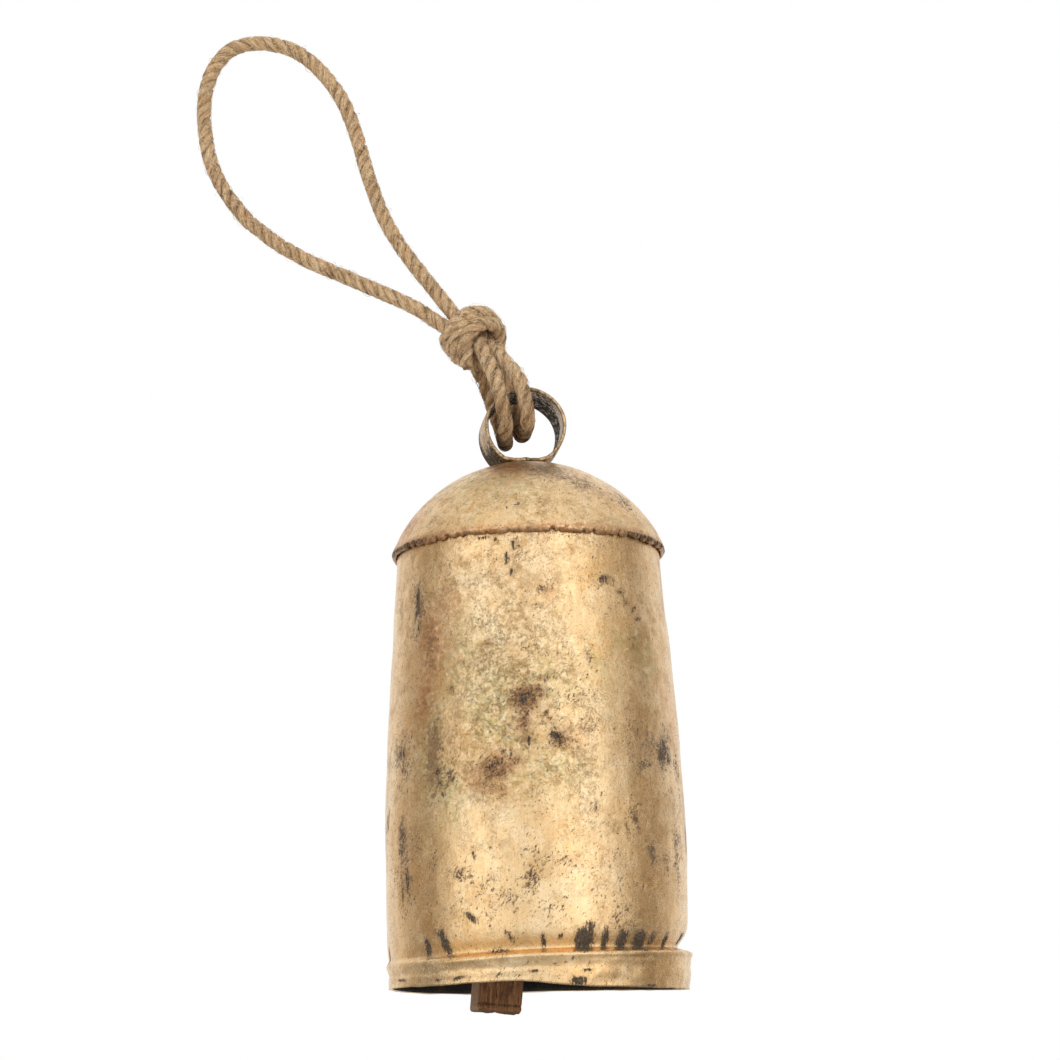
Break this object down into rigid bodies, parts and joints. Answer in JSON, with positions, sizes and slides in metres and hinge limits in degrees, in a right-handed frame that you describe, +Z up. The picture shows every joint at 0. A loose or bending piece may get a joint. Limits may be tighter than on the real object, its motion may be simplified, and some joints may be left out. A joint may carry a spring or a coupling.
{
  "type": "hanging bell",
  "caption": "Hand-beaten sheet-iron bell with a brassy coat, a domed cap, a flat-strip crown ring, a square wooden clapper and a knotted jute rope loop.",
  "frame": {"origin": "inside of the far end of the rope loop, where a hook bears", "axes": "+Z up along the bell's axis, +X from the hook towards the bell's axis, +Y from the front to the back, along a hook that carries the loop"},
  "size_m": [0.2066, 0.1283, 0.4352],
  "materials": {
    "sheet": "satin, mottled patina",
    "strap": "satin, scale on the inner face",
    "braze": "rough",
    "wire": "matte",
    "wood": "raw, sawn",
    "jute": "hairy, twisted"
  },
  "bodies": {
    "loop": {"rope_loop": "jute"},
    "knot": {"rope_knot": "jute", "rope_bight_left": "jute", "rope_bight_right": "jute", "rope_tail": "jute"},
    "bell": {"body_shell": "sheet", "dome_cap": "sheet", "crown_ring": "strap", "crown_braze": "braze", "clapper_staple": "wire"},
    "clapper_hanger": {"clapper_bail": "wire"},
    "clapper": {"clapper": "wood"}
  },
  "joints": [
    {"name": "loop_bend", "type": "hinge", "parent": "loop", "child": "knot", "pos_m": [0.0928, 0, -0.12293], "axis": [0.6657, 0, 0.7462], "range_deg": [-75, 75]},
    {"name": "bell_swing", "type": "hinge", "parent": "knot", "child": "bell", "pos_m": [0.1262, 0, -0.1771], "axis": [-0.1374, 0.9905, 0], "range_deg": [-115, 60]},
    {"name": "clapper_turn", "type": "hinge", "parent": "bell", "child": "clapper_hanger", "pos_m": [0.1262, 0, -0.212], "axis": [0, 0, 1], "range_deg": [-40, 40]},
    {"name": "clapper_swing", "type": "hinge", "parent": "clapper_hanger", "child": "clapper", "pos_m": [0.1262, 0, -0.2574], "axis": [-0.1822, 0.9833, 0], "range_deg": [-23, 11]}
  ]
}
